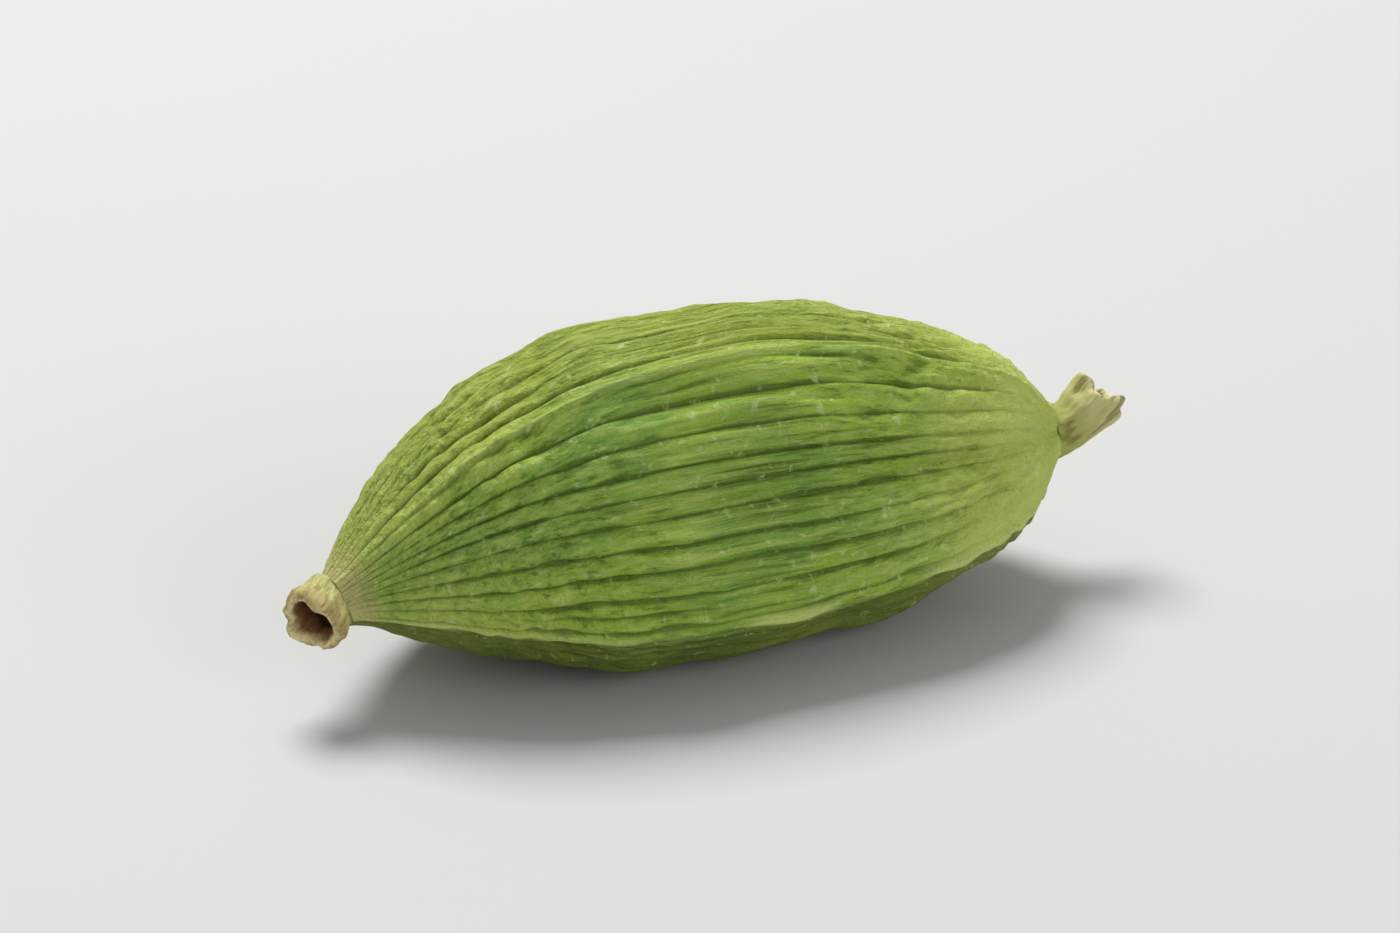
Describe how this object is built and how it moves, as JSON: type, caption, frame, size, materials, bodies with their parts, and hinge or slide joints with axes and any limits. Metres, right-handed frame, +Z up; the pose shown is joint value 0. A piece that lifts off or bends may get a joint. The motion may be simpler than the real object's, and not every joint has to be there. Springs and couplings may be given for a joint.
{
  "type": "green cardamom pod",
  "caption": "Dried green cardamom pod lying on one side: a ribbed three-sided husk with a hollow ring of stalk at one end and the withered flower at the other.",
  "frame": {"origin": "on the surface that the pod lies on, under the middle of its box", "axes": "+X along the pod from the stalk end to the flower end, +Z up from the side that it lies on"},
  "size_m": [0.0202, 0.0084, 0.0077],
  "materials": {
    "husk": "dry papery skin, matte, ribbed lengthwise, green with paler crests and yellower ends",
    "stalk": "dry tan ring of stalk with a dark brown hollow, matte",
    "flower": "straw-coloured, crumbly dry petal tissue, matte"
  },
  "bodies": {
    "root": {"husk": "husk", "stalk_stub": "stalk", "flower_remnant": "flower"}
  },
  "joints": []
}
